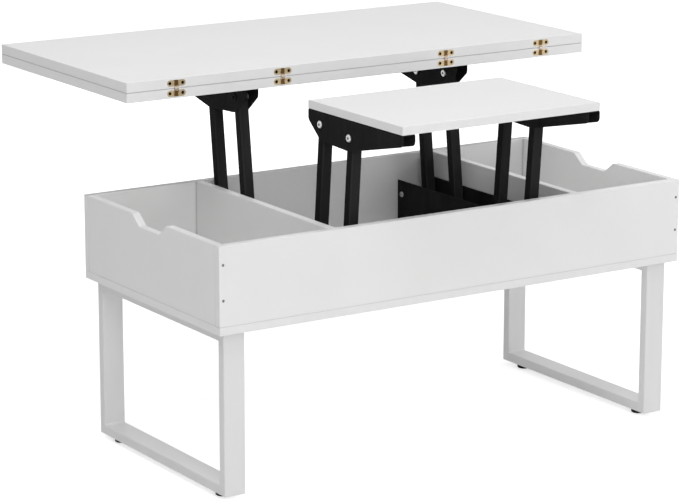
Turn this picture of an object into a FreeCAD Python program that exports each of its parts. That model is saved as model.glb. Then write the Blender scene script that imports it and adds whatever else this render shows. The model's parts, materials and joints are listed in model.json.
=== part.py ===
# Lift-top coffee and dining table, modelled raised, with its second leaf folded on the main top.
# +X runs along the table, +Y to the back, +Z up. The origin is on the floor, in the middle of the
# raised table. All lengths are in millimetres and all angles in degrees.
import FreeCAD, Part
import math
import os
import re

import Sketcher
from FreeCAD import Placement, Rotation, Vector

SIZES = {
    # Box of boards
    "box_length": 990.0,
    "box_depth": 484.0,
    "side_height": 141.0,
    "panel_thick": 15.0,
    "bottom_thick": 15.0,
    "edge_round": 1.0,
    # Finger notch in each end panel
    "notch_top": 122.0,
    "notch_bottom": 70.0,
    "notch_depth": 20.0,
    "notch_round": 9.0,
    # Leg frames and feet
    "leg_height": 293.0,
    "leg_inset": 16.0,
    "tube_wide": 42.0,
    "tube_deep": 18.0,
    "tube_wall": 1.5,
    "tube_round": 2.0,
    "foot_diameter": 26.0,
    "foot_height": 9.5,
    "foot_bevel": 1.5,
    "foot_setback": 43.0,
    "stem_diameter": 8.0,
    "stem_length": 10.0,
    # Main top, two leaves
    "top_overhang": 3.5,
    "leaf_thick": 18.0,
    "leaf_round": 0.5,
    "leaf_gap": 0.4,
    "closed_gap": 0.3,
    # Small top
    "small_length": 417.0,
    "small_depth": 298.0,
    "small_thick": 15.0,
    "small_back_gap": 5.0,
    "leaf_rest_gap": 0.8,
    "closed_small_gap": 0.9,
    # Lift arms and their pivots
    "rear_setback": 34.0,
    "rear_lean": 6.6,
    "front_lean": 5.0,
    "pivot_spread": 93.0,
    "pivot_step": 9.0,
    "pivot_height": 11.5,
    "arm_width": 20.4,
    "arm_depth": 17.2,
    "sheet_thick": 2.0,
    "bend_round": 3.0,
    # Brackets under both tops
    "bracket_width": 26.0,
    "main_setback": 21.0,
    "pivot_inset": 40.0,
    "inner_drop": 23.0,
    "bracket_nose": 19.0,
    "nose_drop": 52.0,
    "bracket_depth": 56.0,
    "bracket_tail": 20.0,
    "nose_round": 10.0,
    "heel_round": 26.0,
    "tail_round": 10.0,
    # Base channels and the lanes of the two lifts
    "lane_gap": 4.5,
    "lane_space": 9.0,
    "divider_gap": 4.0,
    "channel_height": 94.0,
    "channel_end_gap": 7.0,
    # Pins, heads, spacers and washers
    "pin_diameter": 8.0,
    "pin_fit": 0.05,
    "open_fit": 0.1,
    "head_diameter": 14.0,
    "head_thick": 3.0,
    "base_head_diameter": 11.0,
    "base_head_thick": 2.5,
    "head_bevel": 1.2,
    "dimple_diameter": 5.0,
    "dimple_depth": 5.0,
    "spacer_diameter": 14.0,
    "washer_diameter": 15.0,
    "washer_thick": 0.6,
    "side_play": 0.2,
    "stop_reach": 58.0,
    "stop_gap": 0.3,
    # Edge hinges
    "hinge_inset": 99.5,
    "hinge_spread": 179.0,
    "wing_length": 37.5,
    "wing_height": 11.6,
    "wing_offset": 9.0,
    "strap_width": 8.0,
    "plate_thick": 1.8,
    "plate_recess": 0.2,
    "barrel_diameter": 4.6,
    "barrel_room": 0.4,
    "knuckle_width": 2.6,
    "knuckle_gap": 0.1,
    "hinge_pin_diameter": 2.0,
    "mortise_room": 0.1,
    "hinge_screw_head": 6.0,
    "hinge_screw_shank": 2.8,
    "hinge_screw_length": 14.0,
    "hinge_head_height": 1.3,
    # Wood screws and dowels
    "screw_head_height": 2.0,
    "pan_shank": 4.0,
    "pan_head": 8.0,
    "pan_height": 2.4,
    "screw_room": 0.05,
    "corner_screw_shank": 3.0,
    "corner_screw_head": 5.0,
    "corner_screw_length": 40.0,
    "corner_screw_low": 46.0,
    "corner_screw_high": 108.0,
    "bottom_screw_shank": 4.0,
    "bottom_screw_head": 7.0,
    "bottom_screw_length": 38.0,
    "bottom_screw_inset": 80.0,
    "sheet_screw_bite": 11.0,
    "channel_screw_inset": 100.0,
    "leg_screw_bite": 11.0,
    "leg_screw_inset": 70.0,
    "dowel_diameter": 8.0,
    "dowel_panel": 10.0,
    "dowel_divider": 20.0,
    "dowel_low": 35.0,
    "dowel_high": 105.0,
    "dowel_room": 0.05,
}

WORKED_OUT = {
    # Levels of the box and the tops
    "top_length": "box_length + 2 * top_overhang",
    "top_depth": "box_depth + 2 * top_overhang",
    "panel_under": "foot_height + leg_height",
    "box_floor": "panel_under + bottom_thick",
    "box_top": "box_floor + side_height",
    "closed_under": "box_top + closed_gap",
    "outer_drop": "inner_drop + pivot_step",
    "base_outer_z": "box_floor + pivot_height",
    "base_inner_z": "base_outer_z + pivot_step",
    # Rear lift: its arms reach from the back of the channels to the lowered main top's brackets
    "channel_length": "box_depth - 2 * panel_thick - 2 * channel_end_gap",
    "rear_base": "panel_thick + channel_end_gap + channel_length - rear_setback",
    "rear_run": "rear_base + top_overhang - main_setback - pivot_inset - pivot_spread",
    "rear_rise": "closed_under - outer_drop - base_outer_z",
    "rear_arm": "sqrt(rear_run * rear_run + rear_rise * rear_rise)",
    "rear_low": "atan(rear_run / rear_rise) / 1 deg",
    "main_under": "base_outer_z + rear_arm * cos(rear_lean) + outer_drop",
    "main_travel": "rear_arm * (sin(rear_low) + sin(rear_lean))",
    "main_outer_z": "main_under - outer_drop",
    "main_inner_z": "main_under - inner_drop",
    "joint_z": "main_under + leaf_thick + leaf_gap / 2",
    "upper_under": "main_under + leaf_thick + leaf_gap",
    # Front lift: its arms are as long as the small top's raised place asks
    "small_under": "main_under - leaf_rest_gap - small_thick",
    "small_outer_z": "small_under - outer_drop",
    "small_inner_z": "small_under - inner_drop",
    "front_arm": "(small_outer_z - base_outer_z) / cos(front_lean)",
    "small_closed_under": "closed_under - closed_small_gap - small_thick",
    "front_low": "acos((small_closed_under - outer_drop - base_outer_z) / front_arm) / 1 deg",
    "small_travel": "front_arm * (sin(front_low) + sin(front_lean))",
    # Depths: the raised table reaches as far to the front as to the back
    "small_reach": "small_depth + small_travel - (box_depth - panel_thick - small_back_gap)",
    "main_reach": "top_depth + main_travel - top_overhang",
    "box_front": "(small_reach - main_reach) / 2",
    "box_back": "box_front + box_depth",
    "main_front": "box_front - top_overhang + main_travel",
    "main_nose": "main_front + main_setback",
    "main_inner_y": "main_nose + pivot_inset",
    "main_outer_y": "main_inner_y + pivot_spread",
    "rear_outer_y": "main_outer_y - rear_arm * sin(rear_lean)",
    "rear_inner_y": "rear_outer_y - pivot_spread",
    "small_front": "box_front - small_reach",
    "small_back": "small_front + small_depth",
    "small_inner_y": "small_back - pivot_inset",
    "small_outer_y": "small_inner_y - pivot_spread",
    "front_outer_y": "small_outer_y + front_arm * sin(front_lean)",
    "front_inner_y": "front_outer_y + pivot_spread",
    # Lanes, from the middle outwards: the small top's brackets, then the main top's
    "small_lane": "small_length / 2 - bracket_width / 2",
    "main_lane": "small_length / 2 + lane_space + bracket_width / 2",
    "channel_in": "small_length / 2 - bracket_width - lane_gap - sheet_thick",
    "channel_out": "main_lane + bracket_width / 2 + lane_gap + sheet_thick",
    "channel_width": "channel_out - channel_in",
    "channel_lane": "(channel_in + channel_out) / 2",
    "channel_front": "box_front + panel_thick + channel_end_gap",
    "divider_lane": "channel_out + divider_gap + panel_thick / 2",
    # Stop pins, which the outer arms lean against when raised
    "stop_offset": "arm_depth / 2 + pin_diameter / 2 + stop_gap",
    "rear_stop_y": "rear_outer_y + stop_reach * sin(rear_lean) + stop_offset * cos(rear_lean)",
    "rear_stop_z": "base_outer_z + stop_reach * cos(rear_lean) - stop_offset * sin(rear_lean)",
    "front_stop_y": "front_outer_y - stop_reach * sin(front_lean) - stop_offset * cos(front_lean)",
    "front_stop_z": "base_outer_z + stop_reach * cos(front_lean) - stop_offset * sin(front_lean)",
    # Leg frames
    "leg_lane": "box_length / 2 - leg_inset - tube_wide / 2",
    "leg_front": "box_front + leg_inset",
    "frame_depth": "box_depth - 2 * leg_inset",
    # Hinges: their axis is half a joint gap in front of the leaves' edges
    "hinge_y": "main_front - leaf_gap / 2",
    "barrel_radius": "barrel_diameter / 2",
    "hinge_screw_x": "(wing_length - wing_height) / 2",
}

SIDES = (("left", "-1"), ("right", "1"))

WAYS = {
    "+X": Rotation(Vector(0, 1, 0), 90),
    "-X": Rotation(Vector(0, 1, 0), -90),
    "+Y": Rotation(Vector(1, 0, 0), -90),
    "-Y": Rotation(Vector(1, 0, 0), 90),
    "+Z": Rotation(),
    "-Z": Rotation(Vector(1, 0, 0), 180),
}

doc = FreeCAD.newDocument("LiftTopTable")
sheet = doc.addObject("Spreadsheet::Sheet", "Sizes")
nodes = []


def fill_sheet():
    """Write the driving sizes and then the worked-out ones, each with its name as alias."""
    rows = [(alias, str(number)) for alias, number in SIZES.items()]
    rows += [(alias, "=" + text) for alias, text in WORKED_OUT.items()]
    for row, (alias, content) in enumerate(rows, start=1):
        sheet.set("A%d" % row, alias)
        sheet.set("B%d" % row, content)
        sheet.setAlias("B%d" % row, alias)
    doc.recompute()


def formula(text):
    """Point the size names in a formula at the sheet."""
    def pointed(word):
        known = word.group() in SIZES or word.group() in WORKED_OUT
        return "Sizes." + word.group() if known else word.group()
    return re.sub(r"[a-z_]+", pointed, text)


def bind(thing, **formulas):
    for name, text in formulas.items():
        thing.setExpression(name, formula(text))


def put(thing, x, y, z, way="+Z"):
    thing.Placement = Placement(Vector(), WAYS[way])
    for axis, text in (("x", x), ("y", y), ("z", z)):
        thing.setExpression("Placement.Base." + axis, formula(text))
    return thing


def node(thing):
    nodes.append(thing)
    return thing


def box(name, x, y, z, length, depth, height):
    """A block centred at x, with its front at y and its underside at z."""
    block = doc.addObject("Part::Box", name)
    bind(block, Length=length, Width=depth, Height=height)
    return put(block, "%s - (%s) / 2" % (x, length), y, z)


def rod(name, x, y, z, way, radius, length):
    bar = doc.addObject("Part::Cylinder", name)
    bind(bar, Radius=radius, Height=length)
    return put(bar, x, y, z, way)


def cone(name, x, y, z, way, near, far, length):
    taper = doc.addObject("Part::Cone", name)
    bind(taper, Radius1=near, Radius2=far, Height=length)
    return put(taper, x, y, z, way)


def join(name, pieces):
    whole = doc.addObject("Part::MultiFuse", name)
    whole.Shapes = pieces
    return whole


def common(name, pieces):
    shared = doc.addObject("Part::MultiCommon", name)
    shared.Shapes = pieces
    return shared


def group(name, pieces):
    several = doc.addObject("Part::Compound", name)
    several.Links = pieces
    return node(several)


def cut(name, blank, tools):
    result = doc.addObject("Part::Cut", name)
    result.Base = blank
    result.Tool = tools[0] if len(tools) == 1 else join(name + "_cuts", tools)
    return result


def rounded(name, blank, size, chosen):
    """Round the edges of a blank that pass a test of where they run and where their middle is."""
    doc.recompute()
    soft = doc.addObject("Part::Fillet", name)
    soft.Base = blank
    radius = sheet.get(size)
    soft.Edges = [(number, radius, radius) for number, edge in enumerate(blank.Shape.Edges, start=1)
                  if chosen(edge.tangentAt(edge.FirstParameter), edge.CenterOfMass)]
    return soft


def all_edges(run, middle):
    return True


def upright_edges(run, middle):
    return abs(run.z) > 0.99


def level_edges(run, middle):
    return abs(run.y) > 0.99


def board(name, x, y, z, length, depth, height, soft="edge_round"):
    """A board whose edges are slightly rounded."""
    blank = box(name + "_blank", x, y, z, length, depth, height)
    return rounded(name, blank, soft, all_edges)


def outline(name, corners, width, rounds):
    """A plate of the given width along X, cut to an outline of (y, z) corners.

    rounds gives the radius of each corner that is rounded, by the corner's number.
    """
    body = doc.addObject("PartDesign::Body", name)
    plane = [face for face in body.Origin.OriginFeatures if face.Role == "YZ_Plane"][0]
    sketch = body.newObject("Sketcher::SketchObject", name + "_outline")
    sketch.AttachmentSupport = (plane, [""])
    sketch.MapMode = "FlatFace"
    count = len(corners)
    turn = 2 * math.pi / count
    ring = [Vector(2 + math.cos(turn * step), 2 + math.sin(turn * step), 0) for step in range(count)]
    for step in range(count):
        sketch.addGeometry(Part.LineSegment(ring[step], ring[(step + 1) % count]), False)
    for step in range(count):
        sketch.addConstraint(Sketcher.Constraint("Coincident", step, 2, (step + 1) % count, 1))
    for step, corner in enumerate(corners):
        for kind, start, text in zip(("DistanceX", "DistanceY"), ring[step], corner):
            number = sketch.addConstraint(Sketcher.Constraint(kind, -1, 1, step, 1, start))
            sketch.setExpression("Constraints[%d]" % number, formula(text))
    pad = body.newObject("PartDesign::Pad", name + "_pad")
    pad.Profile = sketch
    pad.SideType = "Symmetric"
    bind(pad, Length=width)
    doc.recompute()
    places = {step: sketch.Geometry[step].StartPoint for step in rounds}
    last = pad
    for step, radius in rounds.items():
        last = round_corner(body, last, name + "_round_%d" % step, places[step], radius)
    return body


def round_corner(body, base, name, place, radius):
    """Round the edge of a plate that runs along X through the outline's corner at place."""
    found = []
    for number, edge in enumerate(base.Shape.Edges, start=1):
        ends = [vertex.Point for vertex in edge.Vertexes]
        if len(ends) == 2 and all(math.hypot(end.y - place.x, end.z - place.y) < 1e-4 for end in ends):
            found.append("Edge%d" % number)
    fillet = body.newObject("PartDesign::Fillet", name)
    fillet.Base = (base, found)
    bind(fillet, Radius=radius)
    body.Tip = fillet
    doc.recompute()
    return fillet


def flat_screw(name, x, y, z, way, kind, room="0"):
    """A countersunk wood screw with its head flush at the given place, or its hole with some room.

    kind is the start of the names of the screw's own sizes: its shank, head and length.
    """
    narrow = "%s_shank / 2 + %s" % (kind, room)
    wide = "%s_head / 2 + %s" % (kind, room)
    shank = rod(name + "_shank", x, y, z, way, narrow, "%s_length + %s" % (kind, room))
    head = cone(name + "_head", x, y, z, way, wide, narrow, "screw_head_height")
    return join(name, [shank, head])


def pan_screw(name, x, y, z, way, back, bite):
    """A pan-head screw whose head lies on a face at the given place and points away from it."""
    shank = rod(name + "_shank", x, y, z, way, "pan_shank / 2", bite)
    head = rod(name + "_head", x, y, z, back, "pan_head / 2", "pan_height")
    return join(name, [shank, head])


def screw_bore(name, x, y, z, way, length):
    return rod(name, x, y, z, way, "pan_shank / 2 + screw_room", length + " + screw_room")


def rivet(name, x, y, z, grip, head, thick):
    """A pin along X through two sheets, with a dimpled head outside each of them."""
    pieces = [rod(name + "_shank", "%s - (%s) / 2" % (x, grip), y, z, "+X", "pin_diameter / 2", grip)]
    dimples = []
    for end, way, sign in (("a", "-X", "-1"), ("b", "+X", "1")):
        seat = "%s + %s * (%s) / 2" % (x, sign, grip)
        rim = "%s + %s * (%s - head_bevel)" % (seat, sign, thick)
        bed = "%s + %s * (%s - dimple_depth)" % (seat, sign, thick)
        pieces.append(rod(name + "_rim_" + end, seat, y, z, way, head + " / 2", thick + " - head_bevel"))
        pieces.append(cone(name + "_crown_" + end, rim, y, z, way, head + " / 2",
                           head + " / 2 - head_bevel", "head_bevel"))
        dimples.append(rod(name + "_dimple_" + end, bed, y, z, way,
                           "dimple_diameter / 2", "2 * dimple_depth"))
    return cut(name, join(name + "_blank", pieces), dimples)


def pin_bore(name, x, y, z, length):
    start = "%s - (%s) / 2" % (x, length)
    return rod(name, start, y, z, "+X", "pin_diameter / 2 + pin_fit", length)


def box_boards():
    """The bottom panel, the upright boards and what fastens them to each other."""
    end_lane = "(box_length / 2 - panel_thick / 2)"
    inner_front = "box_front + panel_thick"
    inner_depth = "(box_depth - 2 * panel_thick)"

    corner_screws = []
    corner_bores = {"front": [], "back": [], "left": [], "right": []}
    for face, y, way in (("front", "box_front", "+Y"), ("back", "box_back", "-Y")):
        for side, sign in SIDES:
            for level in ("corner_screw_low", "corner_screw_high"):
                name = "%s_%s_%s" % (face, side, level)
                spot = (sign + " * " + end_lane, y, "box_floor + " + level, way)
                corner_screws.append(flat_screw(name, *spot, "corner_screw"))
                for owner in (face, side):
                    bore = flat_screw("%s_in_%s" % (name, owner), *spot, "corner_screw", "screw_room")
                    corner_bores[owner].append(bore)

    dowels = []
    dowel_bores = {"front": [], "back": [], "left": [], "right": []}
    for face, way, inward, y in (("front", "+Y", "1", "box_front + panel_thick"),
                                 ("back", "-Y", "-1", "box_back - panel_thick")):
        for side, sign in SIDES:
            for level in ("dowel_low", "dowel_high"):
                name = "%s_%s_%s" % (face, side, level)
                x = sign + " * divider_lane"
                z = "box_floor + " + level
                start = "%s - %s * dowel_panel" % (y, inward)
                length = "dowel_panel + dowel_divider"
                dowels.append(rod(name, x, start, z, way, "dowel_diameter / 2", length))
                first = "%s - %s * dowel_room" % (start, inward)
                for owner in (face, side):
                    bore = rod("%s_in_%s" % (name, owner), x, first, z, way,
                               "dowel_diameter / 2 + dowel_room", length + " + 2 * dowel_room")
                    dowel_bores[owner].append(bore)

    bottom_screws = []
    bottom_bores = {"bottom": [], "front": [], "back": [], "left_end": [], "right_end": [],
                    "left_divider": [], "right_divider": []}
    spots = []
    for face, y in (("front", "box_front + panel_thick / 2"), ("back", "box_back - panel_thick / 2")):
        for spot, x in (("left", "bottom_screw_inset - box_length / 2"), ("middle", "0"),
                        ("right", "box_length / 2 - bottom_screw_inset")):
            spots.append((face, spot, x, y))
    for owner, lane in (("end", end_lane), ("divider", "divider_lane")):
        for side, sign in SIDES:
            for spot, y in (("front", "box_front + panel_thick + bottom_screw_inset"),
                            ("back", "box_back - panel_thick - bottom_screw_inset")):
                spots.append(("%s_%s" % (side, owner), spot, sign + " * " + lane, y))
    for owner, spot, x, y in spots:
        name = "bottom_screw_%s_%s" % (owner, spot)
        bottom_screws.append(flat_screw(name, x, y, "panel_under", "+Z", "bottom_screw"))
        for holder in ("bottom", owner):
            bore = flat_screw("%s_in_%s" % (name, holder), x, y, "panel_under", "+Z",
                              "bottom_screw", "screw_room")
            bottom_bores[holder].append(bore)

    sheet_bores = []
    for side, sign in SIDES:
        for number, y in enumerate(channel_screw_places()):
            sheet_bores.append(screw_bore("bottom_panel_%s_channel_bore_%d" % (side, number),
                                          sign + " * channel_lane", y, "box_floor", "-Z", "sheet_screw_bite"))
        for number, y in enumerate(leg_screw_places()):
            sheet_bores.append(screw_bore("bottom_panel_%s_leg_bore_%d" % (side, number),
                                          sign + " * leg_lane", y, "panel_under", "+Z", "leg_screw_bite"))
    bottom = board("bottom_board", "0", "box_front", "panel_under", "box_length", "box_depth", "bottom_thick")
    node(cut("bottom_panel", bottom, bottom_bores["bottom"] + sheet_bores))

    for face, y in (("front", "box_front"), ("back", "box_back - panel_thick")):
        blank = board(face + "_board", "0", y, "box_floor", "box_length", "panel_thick", "side_height")
        node(cut(face + "_panel", blank, corner_bores[face] + dowel_bores[face] + bottom_bores[face]))

    middle = inner_depth + " / 2"
    notch = [
        ("0", "0"), (inner_depth, "0"), (inner_depth, "side_height"),
        (middle + " + notch_top / 2", "side_height"),
        (middle + " + notch_bottom / 2", "side_height - notch_depth"),
        (middle + " - notch_bottom / 2", "side_height - notch_depth"),
        (middle + " - notch_top / 2", "side_height"), ("0", "side_height"),
    ]
    notch_rounds = {corner: "notch_round" for corner in (3, 4, 5, 6)}
    for side, sign in SIDES:
        blank = outline(side + "_end_blank", notch, "panel_thick", notch_rounds)
        put(blank, sign + " * " + end_lane, inner_front, "box_floor")
        blank = rounded(side + "_end_board", blank, "edge_round", all_edges)
        node(cut(side + "_end_panel", blank, corner_bores[side] + bottom_bores[side + "_end"]))
        blank = board(side + "_divider_board", sign + " * divider_lane", inner_front, "box_floor",
                      "panel_thick", inner_depth, "side_height")
        node(cut(side + "_divider", blank, dowel_bores[side] + bottom_bores[side + "_divider"]))

    group("corner_screws", corner_screws)
    group("divider_dowels", dowels)
    group("bottom_screws", bottom_screws)


def leg_screw_places():
    first = "leg_front + leg_screw_inset"
    last = "leg_front + frame_depth - leg_screw_inset"
    return (first, "leg_front + frame_depth / 2", last)


def channel_screw_places():
    first = "channel_front + channel_screw_inset"
    last = "channel_front + channel_length - channel_screw_inset"
    return (first, "channel_front + channel_length / 2", last)


def leg_frames():
    """Two closed frames of mitred rectangular tube, with their feet and screws."""
    far_y = "frame_depth - tube_deep"
    far_z = "leg_height - tube_deep"
    outlines = {
        "front_post": [("0", "0"), ("tube_deep", "tube_deep"), ("tube_deep", far_z), ("0", "leg_height")],
        "back_post": [("frame_depth", "0"), ("frame_depth", "leg_height"),
                      (far_y, far_z), (far_y, "tube_deep")],
        "bottom_rail": [("0", "0"), ("frame_depth", "0"), (far_y, "tube_deep"), ("tube_deep", "tube_deep")],
        "top_rail": [("0", "leg_height"), ("tube_deep", far_z),
                     (far_y, far_z), ("frame_depth", "leg_height")],
    }
    feet = []
    screws = []
    for side, sign in SIDES:
        lane = sign + " * leg_lane"
        bores = {"front_post": [], "back_post": [], "bottom_rail": [], "top_rail": []}
        for end, y in (("front", "leg_front + foot_setback"),
                       ("back", "leg_front + frame_depth - foot_setback")):
            name = "%s_%s_foot" % (side, end)
            disc = rod(name + "_disc", lane, y, "foot_bevel", "+Z",
                       "foot_diameter / 2", "foot_height - foot_bevel")
            lip = cone(name + "_lip", lane, y, "0", "+Z", "foot_diameter / 2 - foot_bevel",
                       "foot_diameter / 2", "foot_bevel")
            stem = rod(name + "_stem", lane, y, "foot_height", "+Z", "stem_diameter / 2", "stem_length")
            feet.append(join(name, [disc, lip, stem]))
            bores["bottom_rail"].append(rod(name + "_bore", lane, y, "foot_height", "+Z",
                                            "stem_diameter / 2 + screw_room", "stem_length"))
        for number, y in enumerate(leg_screw_places()):
            name = "%s_leg_screw_%d" % (side, number)
            under = "panel_under - tube_deep"
            screws.append(pan_screw(name, lane, y, under, "+Z", "-Z", "tube_deep + leg_screw_bite"))
            bores["top_rail"].append(screw_bore(name + "_bore", lane, y, under, "+Z", "tube_deep"))
        for tube, corners in outlines.items():
            name = "%s_%s" % (side, tube)
            blank = put(outline(name + "_blank", corners, "tube_wide", {}), lane, "leg_front", "foot_height")
            long_edges = upright_edges if tube.endswith("post") else level_edges
            blank = rounded(name + "_tube", blank, "tube_round", long_edges)
            wide = "tube_wide - 2 * tube_wall"
            deep = "tube_deep - 2 * tube_wall"
            if tube.endswith("post"):
                start = "leg_front" if tube == "front_post" else "leg_front + frame_depth - tube_deep"
                hollow = box(name + "_hollow", lane, start + " + tube_wall", "foot_height",
                             wide, deep, "leg_height")
            else:
                start = "foot_height" if tube == "bottom_rail" else "foot_height + leg_height - tube_deep"
                hollow = box(name + "_hollow", lane, "leg_front", start + " + tube_wall",
                             wide, "frame_depth", deep)
            node(cut(name, blank, [hollow] + bores[tube]))
    group("glide_feet", feet)
    group("leg_screws", screws)


def base_channels():
    """A deep steel channel on each side of the centre bay, with the pins that it carries."""
    pivots = {
        "rear_outer": ("rear_outer_y", "base_outer_z", "main_lane"),
        "rear_inner": ("rear_inner_y", "base_inner_z", "main_lane"),
        "front_outer": ("front_outer_y", "base_outer_z", "small_lane"),
        "front_inner": ("front_inner_y", "base_inner_z", "small_lane"),
    }
    stops = {
        "rear": ("rear_stop_y", "rear_stop_z"),
        "front": ("front_stop_y", "front_stop_z"),
    }
    screws = []
    pins = []
    stop_pins = []
    spacers = []
    for side, sign in SIDES:
        lane = sign + " * channel_lane"
        name = side + "_base_channel"
        blank = box(name + "_blank", lane, "channel_front", "box_floor",
                    "channel_width", "channel_length", "channel_height")
        doc.recompute()
        waist = blank.Shape.CenterOfMass.z
        blank = rounded(name + "_sheet", blank, "bend_round",
                        lambda run, middle: level_edges(run, middle) and middle.z < waist)
        trough = box(name + "_trough", lane, "channel_front", "box_floor + sheet_thick",
                     "channel_width - 2 * sheet_thick", "channel_length", "channel_height")
        bores = []
        for pivot, (y, z, arm_lane) in pivots.items():
            stem = "%s_%s_pin" % (side, pivot)
            pins.append(rivet(stem, lane, y, z, "channel_width", "base_head_diameter", "base_head_thick"))
            bores.append(pin_bore(stem + "_bore", lane, y, z, "channel_width"))
            inner_wall = "(channel_in + sheet_thick)"
            inner_side = "(%s - arm_width / 2 - side_play)" % arm_lane
            outer_side = "(%s + arm_width / 2 + side_play)" % arm_lane
            outer_wall = "(channel_out - sheet_thick)"
            for spot, near, far in (("in", inner_wall, inner_side), ("out", outer_side, outer_wall)):
                middle = "%s * (%s + %s) / 2" % (sign, near, far)
                spacers.append(tube("%s_%s_spacer_%s" % (side, pivot, spot), middle, y, z,
                                    "%s - %s" % (far, near), "spacer_diameter / 2"))
        for stop, (y, z) in stops.items():
            stem = "%s_%s_stop" % (side, stop)
            stop_pins.append(rivet(stem, lane, y, z, "channel_width",
                                   "base_head_diameter", "base_head_thick"))
            bores.append(pin_bore(stem + "_bore", lane, y, z, "channel_width"))
        for number, y in enumerate(channel_screw_places()):
            stem = "%s_channel_screw_%d" % (side, number)
            seat = "box_floor + sheet_thick"
            screws.append(pan_screw(stem, lane, y, seat, "-Z", "+Z", "sheet_thick + sheet_screw_bite"))
            bores.append(screw_bore(stem + "_bore", lane, y, seat, "-Z", "sheet_thick"))
        node(cut(name, blank, [trough] + bores))
    group("channel_screws", screws)
    group("base_pivot_pins", pins)
    group("stop_pins", stop_pins)
    group("pivot_spacers", spacers)


def tube(name, x, y, z, length, radius):
    """A short round sleeve along X that fits over a pin."""
    start = "%s - (%s) / 2" % (x, length)
    sleeve = rod(name + "_blank", start, y, z, "+X", radius, length)
    return cut(name, sleeve, [pin_bore(name + "_bore", x, y, z, length)])


def arm(name, x, y, z, length, tilt, top_fit):
    """A lift arm: a pressed channel, open to the back, with round ears at both pivots."""
    ends = (("bottom", "0", "pin_fit"), ("top", length, top_fit))
    pieces = [box(name + "_bar", "0", "-arm_depth / 2", "0", "arm_width", "arm_depth", length)]
    long_bar = box(name + "_long_bar", "0", "-arm_depth / 2", "-arm_depth / 2",
                   "arm_width", "arm_depth", length + " + arm_depth")
    bent_bar = rounded(name + "_bent_bar", long_bar, "bend_round",
                       lambda run, middle: upright_edges(run, middle) and middle.y < 0)
    tools = [box(name + "_hollow", "0", "sheet_thick - arm_depth / 2", "-arm_depth",
                 "arm_width - 2 * sheet_thick", "arm_depth", length + " + 2 * arm_depth")]
    for end, level, fit in ends:
        pieces.append(rod("%s_%s_ear" % (name, end), "-arm_width / 2", "0", level, "+X",
                          "arm_depth / 2", "arm_width"))
        tools.append(rod("%s_%s_bore" % (name, end), "-arm_width / 2", "0", level, "+X",
                         "pin_diameter / 2 + " + fit, "arm_width"))
    blank = common(name + "_blank", [bent_bar, join(name + "_round_ends", pieces)])
    piece = put(cut(name, blank, tools), x, y, z)
    piece.Placement = Placement(Vector(), Rotation(Vector(1, 0, 0), 1))
    piece.setExpression("Placement.Rotation.Angle", formula(tilt))
    return node(piece)


def arms():
    lifts = (
        ("rear", "main_lane", "rear_arm", "-rear_lean"),
        ("front", "small_lane", "front_arm", "front_lean"),
    )
    for side, sign in SIDES:
        for lift, lane, length, tilt in lifts:
            for pivot, top_fit in (("outer", "pin_fit"), ("inner", "open_fit")):
                arm("%s_%s_%s_arm" % (side, lift, pivot), "%s * %s" % (sign, lane),
                    "%s_%s_y" % (lift, pivot), "base_%s_z" % pivot, length, tilt, top_fit)


def bracket_screw_places(nose, back):
    """Two screws beyond the outer pivot and one between the pivots, as distances along the bracket."""
    between = "pivot_inset + pivot_spread / 2"
    beyond = "pivot_inset + pivot_spread + (small_depth - pivot_inset - pivot_spread) / 3"
    last = "pivot_inset + pivot_spread + (small_depth - pivot_inset - pivot_spread) * 2 / 3"
    return ["%s + %s * (%s)" % (nose, back, along) for along in (between, beyond, last)]


def brackets(top, nose, back):
    """The channel bracket on each side under a top, with its pins, washers and screws.

    nose is the y of the bracket's inner end, and back is 1 where it runs to the back from there.
    """
    lane = top + "_lane"
    under = top + "_under"
    reach = "%s * " % back
    profile = [
        ("0", "0"), ("0", "-bracket_nose"), (reach + "pivot_inset", "-nose_drop"),
        (reach + "(pivot_inset + pivot_spread)", "-bracket_depth"),
        (reach + "small_depth", "-bracket_tail"), (reach + "small_depth", "0"),
    ]
    rounds = {1: "nose_round", 2: "heel_round", 3: "heel_round", 4: "tail_round"}
    levels = {pivot: ("%s_%s_y" % (top, pivot), "%s_%s_z" % (top, pivot)) for pivot in ("inner", "outer")}
    pins = []
    washers = []
    screws = []
    for side, sign in SIDES:
        x = "%s * %s" % (sign, lane)
        name = "%s_%s_bracket" % (side, top)
        blank = put(outline(name + "_blank", profile, "bracket_width", rounds), x, nose, under)
        doc.recompute()
        seat_level = blank.Shape.BoundBox.ZMax
        blank = rounded(name + "_sheet", blank, "bend_round",
                        lambda run, middle: level_edges(run, middle) and middle.z > seat_level - 1e-4)
        middle = "(%s + %s * small_depth / 2)" % (nose, back)
        hollow = box(name + "_hollow", x, middle + " - small_depth", under + " - sheet_thick - bracket_depth",
                     "bracket_width - 2 * sheet_thick", "2 * small_depth", "bracket_depth")
        bores = []
        for pivot, (y, z) in levels.items():
            stem = "%s_%s_%s_pin" % (side, top, pivot)
            pins.append(rivet(stem, x, y, z, "bracket_width", "head_diameter", "head_thick"))
            bores.append(pin_bore(stem + "_bore", x, y, z, "bracket_width"))
            for spot, way in (("in", "-1"), ("out", "1")):
                seat = "%s + %s * (bracket_width / 2 - sheet_thick - washer_thick / 2)" % (x, way)
                washers.append(tube("%s_%s_%s_washer_%s" % (side, top, pivot, spot), seat, y, z,
                                    "washer_thick", "washer_diameter / 2"))
        for number, y in enumerate(bracket_screw_places(nose, back)):
            stem = "%s_%s_bracket_screw_%d" % (side, top, number)
            seat = under + " - sheet_thick"
            screws.append(pan_screw(stem, x, y, seat, "+Z", "-Z", "sheet_thick + sheet_screw_bite"))
            bores.append(screw_bore(stem + "_bore", x, y, seat, "+Z", "sheet_thick"))
        node(cut(name, blank, [hollow] + bores))
    group(top + "_bracket_pins", pins)
    group(top + "_arm_washers", washers)
    group(top + "_bracket_screws", screws)


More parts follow.
